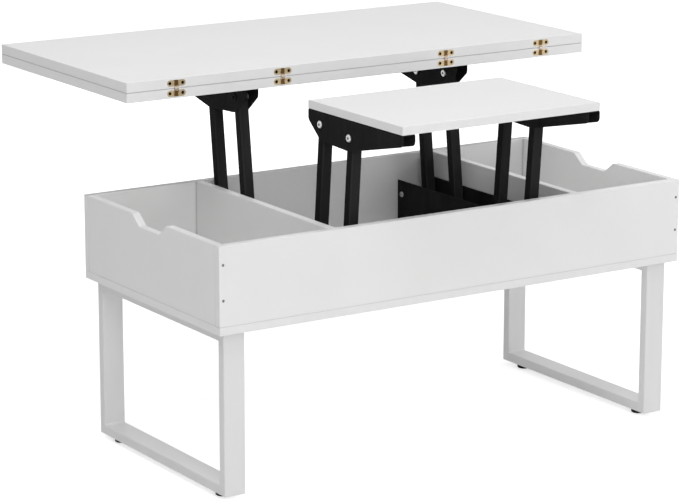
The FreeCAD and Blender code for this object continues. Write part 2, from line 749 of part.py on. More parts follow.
def bracket_pilots(top, nose, back):
    """The holes in a top that its bracket screws bite into."""
    pilots = []
    for side, sign in SIDES:
        for number, y in enumerate(bracket_screw_places(nose, back)):
            pilots.append(screw_bore("%s_%s_pilot_%d" % (side, top, number), "%s * %s_lane" % (sign, top), y,
                                     top + "_under", "+Z", "sheet_screw_bite"))
    return pilots


def span(up, near, far):
    """The underside and height of a block from near to far above, or else below, the leaves' joint."""
    low = "joint_z + " + near if up else "joint_z - (%s)" % far
    return low, "%s - (%s)" % (far, near)


def wing(name, x, up, room, y, thick):
    """The pill-shaped wing and strap of a hinge plate, or their mortise with some room."""
    height = "(wing_height + 2 * %s)" % room
    centre = "joint_z %s wing_offset" % ("+" if up else "-")
    pieces = [box(name + "_wing", x, y, "%s - %s / 2" % (centre, height),
                  "wing_length - wing_height", thick, height)]
    for end, sign in SIDES:
        pieces.append(rod("%s_wing_%s" % (name, end), "%s + %s * hinge_screw_x" % (x, sign), y, centre,
                          "+Y", height + " / 2", thick))
    low, tall = span(up, "barrel_radius + barrel_room", "wing_offset")
    pieces.append(box(name + "_strap", x, y, low, "strap_width + 2 * " + room, thick, tall))
    return pieces


def hinge_screw(name, x, z, room="0"):
    """A small countersunk screw into a leaf's edge, or its hole with some room."""
    y = "main_front + plate_recess"
    shank = rod(name + "_shank", x, y, z, "+Y", "hinge_screw_shank / 2 + " + room,
                "hinge_screw_length + " + room)
    head = cone(name + "_head", x, y, z, "+Y", "hinge_screw_head / 2 + " + room,
                "hinge_screw_shank / 2 + " + room, "hinge_head_height")
    return join(name, [shank, head])


def hinge_places():
    return {
        "left_outer": "(hinge_inset - top_length / 2)",
        "left_inner": "(-hinge_spread)",
        "right_inner": "hinge_spread",
        "right_outer": "(top_length / 2 - hinge_inset)",
    }


def hinge_plate(name, x, up):
    """One plate of an edge hinge: a wing, a strap and the knuckles that go round the pin."""
    y = "main_front + plate_recess"
    pieces = wing(name, x, up, "0", y, "plate_thick")
    low, tall = span(up, "0", "barrel_radius + barrel_room")
    side_width = "(strap_width - knuckle_width) / 2 - knuckle_gap"
    side_lane = "(strap_width / 2 - (%s) / 2)" % side_width
    middle = [("middle", x, "knuckle_width")]
    outer = [(end, "%s + %s * %s" % (x, sign, side_lane), side_width) for end, sign in SIDES]
    for spot, place, width in (outer if up else middle):
        pieces.append(box("%s_tongue_%s" % (name, spot), place, y, low, width, "plate_thick", tall))
        pieces.append(rod("%s_knuckle_%s" % (name, spot), "%s - (%s) / 2" % (place, width),
                          "hinge_y", "joint_z", "+X", "barrel_radius", width))
    tools = [rod(name + "_bore", x + " - strap_width / 2", "hinge_y", "joint_z", "+X",
                 "hinge_pin_diameter / 2 + pin_fit", "strap_width")]
    level = "joint_z %s wing_offset" % ("+" if up else "-")
    for end, sign in SIDES:
        tools.append(hinge_screw("%s_%s_seat" % (name, end), "%s + %s * hinge_screw_x" % (x, sign),
                                 level, "screw_room"))
    return cut(name, join(name + "_blank", pieces), tools)


def hinge_mortise(name, x, up):
    """What is let into a leaf's edge for a hinge plate, its screws and the barrel."""
    tools = wing(name, x, up, "mortise_room", "main_front - plate_thick",
                 "2 * plate_thick + plate_recess + mortise_room")
    low, tall = span(up, "0", "barrel_radius + 2 * barrel_room")
    tools.append(box(name + "_barrel_room", x, "main_front - barrel_radius", low,
                     "strap_width + 2 * barrel_room", "2 * barrel_radius + barrel_room", tall))
    level = "joint_z %s wing_offset" % ("+" if up else "-")
    for end, sign in SIDES:
        tools.append(hinge_screw("%s_%s_pilot" % (name, end), "%s + %s * hinge_screw_x" % (x, sign),
                                 level, "screw_room"))
    return tools


def main_top():
    """The two leaves of the main top and the hinges that join their front edges."""
    lower_tools = bracket_pilots("main", "main_nose", "1")
    upper_tools = []
    plates = {"lower": [], "upper": []}
    screws = {"lower": [], "upper": []}
    pins = []
    for place, x in hinge_places().items():
        for leaf, up, tools in (("lower", False, lower_tools), ("upper", True, upper_tools)):
            stem = "%s_%s_hinge" % (leaf, place)
            level = "joint_z %s wing_offset" % ("+" if up else "-")
            plates[leaf].append(hinge_plate(stem + "_plate", x, up))
            tools.extend(hinge_mortise(stem + "_mortise", x, up))
            for end, sign in SIDES:
                screws[leaf].append(hinge_screw("%s_screw_%s" % (stem, end),
                                                "%s + %s * hinge_screw_x" % (x, sign), level))
        pins.append(rod(place + "_hinge_pin", x + " - strap_width / 2", "hinge_y", "joint_z", "+X",
                        "hinge_pin_diameter / 2", "strap_width"))
    for leaf, under, tools in (("lower", "main_under", lower_tools), ("upper", "upper_under", upper_tools)):
        blank = board(leaf + "_leaf_board", "0", "main_front", under,
                      "top_length", "top_depth", "leaf_thick", "leaf_round")
        node(cut(leaf + "_leaf", blank, tools))
        group(leaf + "_hinge_plates", plates[leaf])
        group(leaf + "_hinge_screws", screws[leaf])
    group("hinge_pins", pins)


def small_top():
    blank = board("small_board", "0", "small_front", "small_under",
                  "small_length", "small_depth", "small_thick", "leaf_round")
    node(cut("small_top", blank, bracket_pilots("small", "small_back", "-1")))


def write_nodes():
    """Check every object and every piece, then write the pieces."""
    failed = [thing.Name for thing in doc.Objects if {"Invalid", "Error"} & set(thing.State)]
    failed += [piece.Label for piece in nodes if piece.Shape.isNull() or not piece.Shape.isValid()]
    if failed:
        raise RuntimeError("failed: " + ", ".join(failed))
    os.makedirs("parts", exist_ok=True)
    for piece in nodes:
        piece.Shape.exportStep("parts/%s.step" % piece.Label)
    print(len(nodes), "nodes,", sum(len(piece.Shape.Solids) for piece in nodes), "solids")


fill_sheet()
box_boards()
leg_frames()
base_channels()
arms()
main_top()
brackets("main", "main_nose", "1")
small_top()
brackets("small", "small_back", "-1")
doc.recompute()
write_nodes()
for angle in ("rear_low", "front_low"):
    print(angle, round(sheet.get(angle), 3))
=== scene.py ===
# %% [markdown]
# # A lift-top coffee table, dressed for the studio
# The table arrives as finished solids: white boards, white steel legs, black pressed arms, rivets and
# brass edge hinges, all at their real size in metres. This lesson gives every piece the finish it has on
# the real table, adds the small trim that the solids leave out, and sets up a plain studio round it.
# No solid is moved or reshaped, so whatever folds on the real table still folds here.

# %% Load the table
import json
import math

import bmesh
import bpy
from mathutils import Matrix, Vector

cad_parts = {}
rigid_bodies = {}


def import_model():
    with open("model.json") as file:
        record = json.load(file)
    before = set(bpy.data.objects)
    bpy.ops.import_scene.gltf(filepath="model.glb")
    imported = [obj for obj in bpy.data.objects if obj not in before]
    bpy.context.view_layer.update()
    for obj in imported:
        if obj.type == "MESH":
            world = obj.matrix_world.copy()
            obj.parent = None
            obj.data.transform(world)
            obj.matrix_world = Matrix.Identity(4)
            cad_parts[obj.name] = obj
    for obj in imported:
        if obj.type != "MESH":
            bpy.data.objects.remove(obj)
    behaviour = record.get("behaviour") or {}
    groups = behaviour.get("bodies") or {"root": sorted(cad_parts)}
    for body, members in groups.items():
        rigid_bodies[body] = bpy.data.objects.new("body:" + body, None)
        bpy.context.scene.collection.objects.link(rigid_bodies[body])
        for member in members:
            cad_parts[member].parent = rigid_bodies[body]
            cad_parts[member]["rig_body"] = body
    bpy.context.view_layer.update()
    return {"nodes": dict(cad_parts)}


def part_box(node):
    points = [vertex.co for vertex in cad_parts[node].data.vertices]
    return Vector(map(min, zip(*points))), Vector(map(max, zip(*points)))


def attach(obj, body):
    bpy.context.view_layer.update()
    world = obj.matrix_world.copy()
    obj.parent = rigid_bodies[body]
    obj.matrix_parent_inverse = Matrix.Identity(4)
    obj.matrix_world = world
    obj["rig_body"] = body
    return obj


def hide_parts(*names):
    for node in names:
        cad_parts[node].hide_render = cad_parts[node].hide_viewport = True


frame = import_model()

nodes = frame["nodes"]
body_of_node = {name: node["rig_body"] for name, node in nodes.items()}

# %% [markdown]
# ## Working with shader nodes
# A finish is a small graph of nodes. Written out in full, each node takes four or five lines, so a few
# short helpers do the wiring: one opens a finish with its shader, one adds a node and plugs in whatever
# it is given, and one reads a soft random pattern at a chosen real size. The pattern is placed by object
# coordinates. Each solid keeps its place in its mesh, so these are simply metres on the table, and the
# pattern stays on the piece when the piece moves.

# %% Helpers that wire nodes
finishes = {}


def open_finish(name):
    """Start a finish, and give its node tree and its shader."""
    finish = bpy.data.materials.new(name)
    finish.use_nodes = True
    finishes[name] = finish
    print("finish:", name)
    return finish.node_tree, finish.node_tree.nodes["Principled BSDF"]


def wire(tree, socket, value):
    """Plug another node's output into a socket, or set the socket to a plain value."""
    if isinstance(value, bpy.types.NodeSocket):
        tree.links.new(value, socket)
    else:
        socket.default_value = value


def add(tree, kind, sockets=None, **settings):
    """Add a node with its settings, and wire the sockets that are given by name."""
    made = tree.nodes.new("ShaderNode" + kind)
    for name, value in settings.items():
        setattr(made, name, value)
    for name, value in (sockets or {}).items():
        wire(tree, made.inputs[name], value)
    return made


def dress(tree, shader, **values):
    """Set the shader's sockets; a socket's name is written with _ for each space."""
    for name, value in values.items():
        wire(tree, shader.inputs[name.replace("_", " ")], value)


# %% [markdown]
# A noise pattern could be anything from 0 to 1, but nearly all of it lies between 0.3 and 0.7. So that is
# the stretch which the next helpers turn into numbers or colours, unless they are told another one.

# %% Helpers for patterns, numbers and colours
noise_low = 0.3
noise_high = 0.7


def place(tree):
    """Where a point lies on the table, in metres."""
    return add(tree, "TexCoord").outputs["Object"]


def along(tree, vector, axis):
    """The part of a vector along one axis."""
    return add(tree, "SeparateXYZ", {"Vector": vector}).outputs[axis]


def pattern(tree, size, detail=2.0, stretch=(1, 1, 1)):
    """Soft random patches about `size` metres across, drawn out by `stretch` along each axis."""
    scale = [1 / (size * pull) for pull in stretch]
    sized = add(tree, "Mapping", {"Vector": place(tree), "Scale": scale}).outputs["Vector"]
    return add(tree, "TexNoise", {"Vector": sized, "Scale": 1.0, "Detail": detail}).outputs["Fac"]


def spread(tree, source, low, high, start=noise_low, end=noise_high):
    """Turn a pattern into numbers from low to high."""
    sockets = {"Value": source, "From Min": start, "From Max": end, "To Min": low, "To Max": high}
    return add(tree, "MapRange", sockets).outputs["Result"]


def tint(tree, source, first, second, start=noise_low, end=noise_high):
    """Turn a pattern into colours from first to second."""
    ramp = add(tree, "ValToRGB", {"Fac": source})
    for stop, position, colour in zip(ramp.color_ramp.elements, (start, end), (first, second)):
        stop.position = position
        stop.color = (*colour, 1)
    return ramp.outputs["Color"]


def grey(level):
    return (level, level, level)


print("patterns are read from", noise_low, "to", noise_high)

# %% [markdown]
# The last helpers work on what the patterns give. Blender has a node for each single sum, so a longer sum
# is a chain of them. A colour is shaded by scaling it, two colours are mixed by a share, and a pattern
# becomes a relief with the Bump node, which tilts the light on a surface and leaves its shape alone. That
# is enough for grain and scratches, which are too fine to show in an outline.

# %% Helpers for sums, shades and relief
def arithmetic(tree, operation, first, second=0.0):
    made = add(tree, "Math", operation=operation)
    wire(tree, made.inputs[0], first)
    wire(tree, made.inputs[1], second)
    return made.outputs["Value"]


def distance(tree, value, middle):
    """How far a value lies from a middle, on either side."""
    return arithmetic(tree, "ABSOLUTE", arithmetic(tree, "SUBTRACT", value, middle))


def dim(tree, colour, share):
    """Make a colour darker, or lighter where the share is over 1."""
    return add(tree, "VectorMath", {"Vector": colour, "Scale": share}, operation="SCALE").outputs["Vector"]


def blend(tree, share, first, second):
    """Go from the first colour to the second as the share goes from 0 to 1."""
    mixed = add(tree, "Mix", {"Factor": share}, data_type="RGBA")
    colour_sockets = [socket for socket in mixed.inputs if socket.type == "RGBA"]
    for socket, colour in zip(colour_sockets, (first, second)):
        wire(tree, socket, colour)
    return next(socket for socket in mixed.outputs if socket.type == "RGBA")


def relief(tree, height, depth):
    """Raise a surface by a pattern, `depth` metres from its lowest to its highest."""
    return add(tree, "Bump", {"Height": height, "Distance": depth}).outputs["Normal"]


# %% [markdown]
# ## White boards
# The boards are chipboard faced with white melamine paper. From a step away that is a calm white, and
# up close the press plate has left a fine pearl grain and the sheen changes slightly from place to place.
# A scanned texture would do, but it repeats on a board a metre long. Two noise patterns never repeat: a
# wide one shifts the white and the sheen by a hair, and one about a millimetre wide is the pearl grain.
#
# The boards of the box are butted together for good, and the shade that falls in their joints and inner
# corners is painted into the white as thin grey lines. The Ambient Occlusion node tells how closed in a
# point is within a few millimetres, and that share darkens the white.

# %% Painted shade in the corners of the box
corner_reach = 0.006
painted_corner_shade = 0.66
closed_in = 0.35
wide_open = 0.9


def paint_corner_shade(tree, colour):
    """Darken a colour in joints and inner corners, as painted shade."""
    openness = add(tree, "AmbientOcclusion", {"Distance": corner_reach}).outputs["AO"]
    return dim(tree, colour, spread(tree, openness, painted_corner_shade, 1.0, closed_in, wide_open))


print("corners shaded within", 1000 * corner_reach, "mm")

# %% [markdown]
# The tops can't have that: the two leaves lie on each other now and open out later, and their faces would
# stay grey. Instead the shade of the narrow joint is painted on the two rounded edges along it, by height
# alone, and it leaves out the level of the faces themselves.

# %% Painted shade along the joint of the leaves
lower_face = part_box("lower_leaf")[1].z
upper_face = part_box("upper_leaf")[0].z
joint_level = (lower_face + upper_face) / 2
joint_half = (upper_face - lower_face) / 2
painted_joint_shade = 0.55
edge_rounding = 0.0005
face_margin = 0.00005
outer_fade = 0.00025


def paint_joint_shade(tree, colour):
    """Darken the rounded edges along the joint of the leaves with painted shade, but not the faces that
    meet there.
    """
    away = distance(tree, along(tree, place(tree), "Z"), joint_level)
    near = joint_half + face_margin
    far = joint_half + edge_rounding
    inside = spread(tree, away, 0.0, 1.0 - painted_joint_shade, near, near + face_margin)
    outside = spread(tree, away, 1.0, 0.0, far, far + outer_fade)
    share = arithmetic(tree, "SUBTRACT", 1.0, arithmetic(tree, "MULTIPLY", inside, outside))
    return dim(tree, colour, share)


print("joint of the leaves at", round(joint_level, 4), "m, open by", round(2000 * joint_half, 2), "mm")

# %% [markdown]
# Now one function makes all three white finishes: a plain one for the small top, one with painted shade in
# the corners for the box and one with painted shade along the joint for the leaves. They differ in their
# shade alone, so the shade is handed over as a function and nothing has to be written three times.

# %% White board finishes
cloud_size = 0.16
pearl_size = 0.0011
pearl_depth = 0.00003
board_white = ((0.845, 0.845, 0.84), grey(0.87))
board_rough = (0.40, 0.48)
board_shine = 0.4


def melamine(name, shade=None):
    tree, shader = open_finish(name)
    cloud = pattern(tree, cloud_size, detail=3.0)
    white = tint(tree, cloud, *board_white)
    dress(tree, shader, Base_Color=shade(tree, white) if shade else white,
          Roughness=spread(tree, cloud, *board_rough), Specular_IOR_Level=board_shine,
          Normal=relief(tree, pattern(tree, pearl_size), pearl_depth))


melamine("white_board")
melamine("box_board", paint_corner_shade)
melamine("leaf_board", paint_joint_shade)

# %% [markdown]
# ## Edge bands
# The sawn edges of such a board are closed with a thin strip of white plastic. It is a touch smoother and
# cooler than the melamine and takes a faint ribbing along its length from the roller that glued it on. The
# melamine's finish could serve here too, but then nobody would see where a strip ends, so it has its own.
# The back panel's upper edge lies always in the shade of the main top, and that shade is painted into its
# strip: the strip is grey on the faces that look up.

# %% Edge band finishes
smear_size = 0.05
rib_size = 0.0009
rib_run = (30, 30, 1)
rib_depth = 0.00002
strip_white = (grey(0.83), grey(0.85))
strip_rough = (0.30, 0.38)
strip_shine = 0.4
painted_top_shade = 0.62
looks_up = (0.4, 0.6)


def paint_shade_on_top(tree, colour):
    """Darken the faces that look up, as painted shade."""
    up = along(tree, add(tree, "TexCoord").outputs["Normal"], "Z")
    return dim(tree, colour, spread(tree, up, 1.0, painted_top_shade, *looks_up))


def edge_strip(name, shade=None):
    tree, shader = open_finish(name)
    smear = pattern(tree, smear_size)
    ribs = pattern(tree, rib_size, detail=1.0, stretch=rib_run)
    white = tint(tree, smear, *strip_white)
    dress(tree, shader, Base_Color=shade(tree, white) if shade else white,
          Roughness=spread(tree, smear, *strip_rough), Specular_IOR_Level=strip_shine,
          Normal=relief(tree, ribs, rib_depth))


edge_strip("edge_band")
# the back panel's strip carries painted shade on the faces that look up
edge_strip("back_edge_band_painted_shade", paint_shade_on_top)

# %% [markdown]
# ## Painted steel
# The legs and the lifting arms are powder coated: dry paint is sprayed on and baked, and it flows into a
# skin with small soft waves, the orange peel. The white coat is smooth with wide waves. The black one is
# a finer, sandier coat, and handling leaves long soft streaks in its sheen. Both come from one function,
# because only the colours and the sizes of the patterns differ.
#
# The arms get a painted sheen: their broad faces are painted lighter, and the bends beside them lighter
# still, as a painted highlight. The way a face looks tells where that is: front and back count as broad,
# and slantwise as a bend.

# %% Powder coat finishes
face_sheen = 1.55
bend_highlight = 2.0
side_to_bend = (0.2, 0.6)
bend_to_face = (0.85, 0.98)


def paint_arm_sheen(tree, colour):
    """Lighten the front and back faces as painted sheen, and the bends beside them more, as a painted
    highlight.
    """
    facing = arithmetic(tree, "ABSOLUTE", along(tree, add(tree, "TexCoord").outputs["Normal"], "Y"))
    sheen_share = spread(tree, facing, 1.0, bend_highlight, *side_to_bend)
    above_face = spread(tree, facing, 0.0, bend_highlight - face_sheen, *bend_to_face)
    return dim(tree, colour, arithmetic(tree, "SUBTRACT", sheen_share, above_face))


def powder_coat(name, colours, peel_size, peel_depth, rough, shine, streak_size, streak_run, painted_sheen=None):
    tree, shader = open_finish(name)
    handling = pattern(tree, streak_size, detail=3.0, stretch=streak_run)
    coat = tint(tree, handling, *colours)
    dress(tree, shader, Base_Color=painted_sheen(tree, coat) if painted_sheen else coat,
          Roughness=spread(tree, handling, *rough), Specular_IOR_Level=shine,
          Normal=relief(tree, pattern(tree, peel_size), peel_depth))


black_shine = 0.006
powder_coat("white_steel", colours=(grey(0.78), grey(0.805)), peel_size=0.0022, peel_depth=0.00005,
            rough=(0.34, 0.44), shine=0.4, streak_size=0.04, streak_run=(1, 1, 4))
for name, painted_sheen in (("black_steel", None), ("rubbed_black_steel", paint_arm_sheen)):
    powder_coat(name, colours=(grey(0.0145), (0.022, 0.022, 0.0225)), peel_size=0.0007, peel_depth=0.00004,
                rough=(0.42, 0.56), shine=black_shine, streak_size=0.03, streak_run=(1, 1, 8), painted_sheen=painted_sheen)

# %% [markdown]
# ## Bare metal
# Bare metal shows as bright zinc on the pins and rivets, grey zinc on the screws of the box, dark zinc on
# the other screws and brass on the hinges. A metal has next to no colour of its own apart from its
# reflection, so the shader is fully metallic and the detail sits in the roughness: tumbled parts carry fine
# scratches and dull patches.

# %% Zinc finishes
tumble_size = 0.004
scratch_size = 0.0006
scratch_run = (1, 1, 6)
scratch_depth = 0.000012


def zinc(name, dull, bright, rough):
    tree, shader = open_finish(name)
    tumbled = pattern(tree, tumble_size, detail=4.0)
    scratches = pattern(tree, scratch_size, stretch=scratch_run)
    dress(tree, shader, Metallic=1.0, Base_Color=tint(tree, tumbled, dull, bright),
          Roughness=spread(tree, tumbled, *rough), Normal=relief(tree, scratches, scratch_depth))


zinc("bright_steel", dull=(0.46, 0.46, 0.47), bright=(0.60, 0.60, 0.61), rough=(0.26, 0.42))
zinc("dark_steel", dull=(0.0035, 0.0028, 0.0022), bright=(0.012, 0.010, 0.008), rough=(0.40, 0.55))
zinc("grey_steel", dull=(0.15, 0.15, 0.155), bright=(0.26, 0.26, 0.265), rough=(0.34, 0.50))

# %% [markdown]
# The hinges are several solids in one piece. To find the middle of each one, the solids are told apart by
# walking from corner to corner along the edges, and the middle of their boxes is kept. The same walk will
# find every screw later on.

# %% Separate solids of a piece
point_room = 1e-6
sort_digits = 5


def open_mesh(name):
    """A piece's mesh for editing, with the points that lie on each other joined."""
    mesh = bmesh.new()
    mesh.from_mesh(nodes[name].data)
    bmesh.ops.remove_doubles(mesh, verts=mesh.verts, dist=point_room)
    return mesh


def shells(name):
    """The separate solids of a piece, each as the lowest and highest corner of its box and its points."""
    mesh = open_mesh(name)
    waiting = set(mesh.verts)
    found = []
    while waiting:
        reached = [waiting.pop()]
        for vert in reached:
            for edge in vert.link_edges:
                other = edge.other_vert(vert)
                if other in waiting:
                    waiting.remove(other)
                    reached.append(other)
        points = [vert.co.copy() for vert in reached]
        low = Vector([min(point[axis] for point in points) for axis in range(3)])
        high = Vector([max(point[axis] for point in points) for axis in range(3)])
        found.append((low, high, points))
    mesh.free()
    return sorted(found, key=lambda shell: tuple(round(value, sort_digits) for value in shell[0]))


hinge_middles = [(low.x + high.x) / 2 for low, high, points in shells("upper_hinge_plates")]
print("hinges at", [round(x, 3) for x in hinge_middles])

# %% [markdown]
# The brass has browned in the middle of each wing and is rubbed pale on the neck round the pin. That could
# be painted on by hand, but every wing would need a picture of its own. So the colours follow the distance
# from the hinge's middle and from the joint of the leaves, and one finish fits all the wings. The hinges
# stand in two pairs, alike on the left and on the right, which makes the distance to the nearest middle a
# short sum.

# %% Brass finish
neck_reach = 0.004
neck_polish = (0.003, 0.006)
stain_reach = 0.0042
stain_fade = (-0.0012, 0.0010)
blotch_size = 0.003
blotch_shift = 0.0012
brass_grain = 0.0008
brass_grain_depth = 0.000015
brass_rough = (0.24, 0.40)
clean_brass = (0.47, 0.365, 0.225)
worn_brass = (0.60, 0.50, 0.40)
browned_brass = (0.115, 0.066, 0.022)

tree, shader = open_finish("brass")
inner, outer = [x for x in hinge_middles if x > 0]
from_centre = arithmetic(tree, "ABSOLUTE", along(tree, place(tree), "X"))
from_middle = distance(tree, distance(tree, from_centre, (inner + outer) / 2), (outer - inner) / 2)
from_joint = distance(tree, along(tree, place(tree), "Z"), joint_level)
blotches = pattern(tree, blotch_size, detail=3.0)
outside = arithmetic(tree, "MAXIMUM", arithmetic(tree, "SUBTRACT", from_middle, stain_reach),
                     arithmetic(tree, "SUBTRACT", neck_reach, from_joint))
outside = arithmetic(tree, "ADD", outside, spread(tree, blotches, -blotch_shift, blotch_shift))
polish = tint(tree, spread(tree, from_joint, 0.0, 1.0, *neck_polish), worn_brass, clean_brass, 0.0, 1.0)
cleanness = spread(tree, outside, 0.0, 1.0, *stain_fade)
dress(tree, shader, Metallic=1.0, Roughness=spread(tree, blotches, *brass_rough),
      Base_Color=blend(tree, cleanness, (*browned_brass, 1), polish),
      Normal=relief(tree, pattern(tree, brass_grain), brass_grain_depth))

# %% [markdown]
# The rivets under the main top were set before painting, and only their inner heads were rubbed bright
# again. Each rivet is one solid, and it would have to be cut in two to take two finishes. So one finish
# holds both: how far a point lies from the table's middle decides between paint and metal.

# %% Half painted rivets
rivet_paint = (grey(0.0145), grey(0.021))
rivet_metal = (grey(0.46), grey(0.60))
rivet_rough = (0.30, 0.46)
inner_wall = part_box("right_main_bracket")[0].x

tree, shader = open_finish("half_painted_rivet")
from_centre = arithmetic(tree, "ABSOLUTE", along(tree, place(tree), "X"))
bare = arithmetic(tree, "LESS_THAN", from_centre, inner_wall)
tumbled = pattern(tree, tumble_size, detail=4.0)
dress(tree, shader, Metallic=bare, Roughness=spread(tree, tumbled, *rivet_rough),
      Base_Color=blend(tree, bare, tint(tree, tumbled, *rivet_paint), tint(tree, tumbled, *rivet_metal)),
      Specular_IOR_Level=black_shine, Normal=relief(tree, pattern(tree, scratch_size), scratch_depth))
print("rivets are bare nearer to the middle than", round(inner_wall, 4), "m")

# %% [markdown]
# ## Plastic and wood
# The glides under the legs are black moulded plastic with the fine spark texture of the mould, and the thin
# washers in the pivots are milky nylon. The dowels between dividers and panels are bare beech, with long
# grain lines and a sheen broken by short flecks. All this is noise again, and for the wood it is drawn out
# along the dowel. The dowels only show when the box is taken apart, but a finish costs a few lines.

# %% Plastic and beech finishes
spark_size = 0.0005
spark_depth = 0.00003


def moulded(name, colours, rough, shine):
    tree, shader = open_finish(name)
    spark = pattern(tree, spark_size, detail=3.0)
    dress(tree, shader, Base_Color=tint(tree, spark, *colours), Roughness=spread(tree, spark, *rough),
          Specular_IOR_Level=shine, Normal=relief(tree, spark, spark_depth))


moulded("black_plastic", colours=(grey(0.003), grey(0.006)), rough=(0.50, 0.65), shine=0.08)
moulded("nylon", colours=((0.62, 0.61, 0.57), (0.70, 0.69, 0.65)), rough=(0.40, 0.50), shine=0.5)

grain_size = 0.0012
grain_run = (1, 14, 1)
grain_depth = 0.00005
fleck_size = 0.0006
fleck_run = (1, 5, 1)
beech = ((0.50, 0.33, 0.19), (0.68, 0.50, 0.32))
beech_rough = (0.55, 0.75)
tree, shader = open_finish("bare_wood")
grain = pattern(tree, grain_size, detail=3.0, stretch=grain_run)
fleck = pattern(tree, fleck_size, detail=1.0, stretch=fleck_run)
dress(tree, shader, Base_Color=tint(tree, grain, *beech), Roughness=spread(tree, fleck, *beech_rough),
      Normal=relief(tree, grain, grain_depth))

# %% [markdown]
# ## Dressing the solids
# Every solid came in with a plain material named after its slot in the parts record, such as black_steel.
# The finishes above carry the same names, so dressing the table is one loop, with a short list of the
# pieces that take a special finish. The finish is put in the object's own slot and the mesh is left as it
# was.

# %% Put the finishes on
special = {"main_bracket_pins": "half_painted_rivet"}
for name in ("upper_leaf", "lower_leaf"):
    special[name] = "leaf_board"
for name in nodes:
    if name.endswith(("_panel", "_divider")):
        special[name] = "box_board"
    # the arms carry a painted sheen on their broad faces and a painted highlight on their bends
    if name.endswith("_arm"):
        special[name] = "rubbed_black_steel"
for name, node in nodes.items():
    for slot in node.material_slots:
        finish = special.get(name, slot.material.name.split(".")[0])
        slot.link = "OBJECT"
        slot.material = finishes[finish]
print("dressed", len(nodes), "solids,", len(special), "of them with a special finish")

# %% [markdown]
# ## Pieces made here
# The trim could be made with modifiers on the solids, but the solids are to stay as they came. So new
# pieces are written as finished meshes. Each one gets smooth shading that stops at edges sharper than a set
# angle, a finish and the body that it moves with.

# %% Helper for new pieces
crease = math.radians(32)


def new_piece(name, mesh, body, finish):
    """Turn a mesh into a dressed piece that moves with a body."""
    bmesh.ops.recalc_face_normals(mesh, faces=mesh.faces)
    data = bpy.data.meshes.new(name)
    mesh.to_mesh(data)
    mesh.free()
    data.polygons.foreach_set("use_smooth", [True] * len(data.polygons))
    data.set_sharp_from_angle(angle=crease)
    data.materials.append(finishes[finish])
    piece = bpy.data.objects.new(name, data)
    bpy.context.scene.collection.objects.link(piece)
    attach(piece, body)
    print(name, len(data.polygons), "faces, on", body)
    return piece


print("edges over", round(math.degrees(crease)), "degrees stay sharp")

# %% [markdown]
# ## Edge bands on the boards
# A band has to follow its board exactly, through the finger notch in the end panels and round the cut-outs
# for the hinges. Drawing those outlines again would risk a mismatch, so the band is lifted from the board:
# the faces that look out sideways, across the board's thickness, are copied and thickened outwards by a
# fraction of a millimetre. Only edges that stay in the open get a band, not those that stand on another
# board.

# %% Which edges stay in the open
x_axis, y_axis, z_axis = range(3)
tilt_room = 0.02


def all_round(way):
    return True


def not_below(way):
    return way.z > -tilt_room


def on_top(way):
    return way.z > tilt_room


boards = {
    "upper_leaf": (z_axis, all_round),
    "lower_leaf": (z_axis, all_round),
    "small_top": (z_axis, all_round),
    "bottom_panel": (z_axis, all_round),
    "front_panel": (y_axis, not_below),
    "back_panel": (y_axis, not_below),
    "left_end_panel": (x_axis, on_top),
    "right_end_panel": (x_axis, on_top),
    "left_divider": (x_axis, on_top),
    "right_divider": (x_axis, on_top),
}
print(len(boards), "boards get edge bands")

# %% [markdown]
# A board's outer rim is easy to tell: those faces lie on the sides of its box. The notch does not, so the
# band also grows from face to face as long as the next face looks nearly the same way.

# %% Lift the bands
band_thick = 0.00015
rim_room = 1e-5
same_way = 0.8


def on_rim(face, low, high, thick_axis):
    """Whether a face lies on one of the narrow sides of its board's box."""
    middle = face.calc_center_median()
    sides = [axis for axis in range(3) if axis != thick_axis]
    gaps = [min(abs(middle[axis] - low[axis]), abs(middle[axis] - high[axis])) for axis in sides]
    return min(gaps) < rim_room


def lift_band(board, thick_axis, in_the_open):
    """Copy the open edge faces of a board and thicken them into a band."""
    mesh = open_mesh(board)
    low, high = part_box(board)
    sideways = {face for face in mesh.faces
                if abs(face.normal[thick_axis]) < tilt_room and in_the_open(face.normal)}
    band = [face for face in mesh.faces if face in sideways and on_rim(face, low, high, thick_axis)]
    kept = set(band)
    for face in band:
        for edge in face.edges:
            for other in edge.link_faces:
                if other in sideways and other not in kept and face.normal.dot(other.normal) > same_way:
                    kept.add(other)
                    band.append(other)
    bmesh.ops.delete(mesh, geom=[face for face in mesh.faces if face not in kept], context="FACES")
    bmesh.ops.solidify(mesh, geom=mesh.faces[:], thickness=-band_thick)
    finish = "back_edge_band_painted_shade" if board == "back_panel" else "edge_band"
    new_piece(board + "_edge_bands", mesh, body_of_node[board], finish)


for board, (thick_axis, in_the_open) in boards.items():
    lift_band(board, thick_axis, in_the_open)

# %% [markdown]
# ## Screws
# The solids show each screw as a plain head on a plain shank. A real one has a cross recess to turn it by
# and a thread. Both are easy to write point by point: the head is a stack of rings, the recess a
# cross-shaped pocket let into its face, and the thread a stack of rings whose radius rises and falls with
# the turn, so that the ridge climbs as a true helix.

# %% Rings
points_around = 16


def ring(mesh, radius, z):
    """A ring of points; radius is a number, or a function of the angle."""
    size = radius if callable(radius) else lambda angle: radius
    points = []
    for step in range(points_around):
        angle = 2 * math.pi * step / points_around
        points.append(mesh.verts.new((size(angle) * math.cos(angle), size(angle) * math.sin(angle), z)))
    return points


def bridge(mesh, first, second):
    """Faces between two loops of as many points."""
    count = len(first)
    for step in range(count):
        after = (step + 1) % count
        mesh.faces.new((first[step], first[after], second[after], second[step]))


print("rings of", points_around, "points")

# %% [markdown]
# The recess is a cross that narrows towards its foot. All its sizes are shares of its span.

# %% Cross recess
mouth_width = 0.26
foot_span = 0.5
foot_width = 0.16
recess_depth = 0.3


def loop_edges(mesh, loop):
    """The edges round a loop of points, made where they are missing."""
    pairs = zip(loop, loop[1:] + loop[:1])
    return [mesh.edges.get(pair) or mesh.edges.new(pair) for pair in pairs]


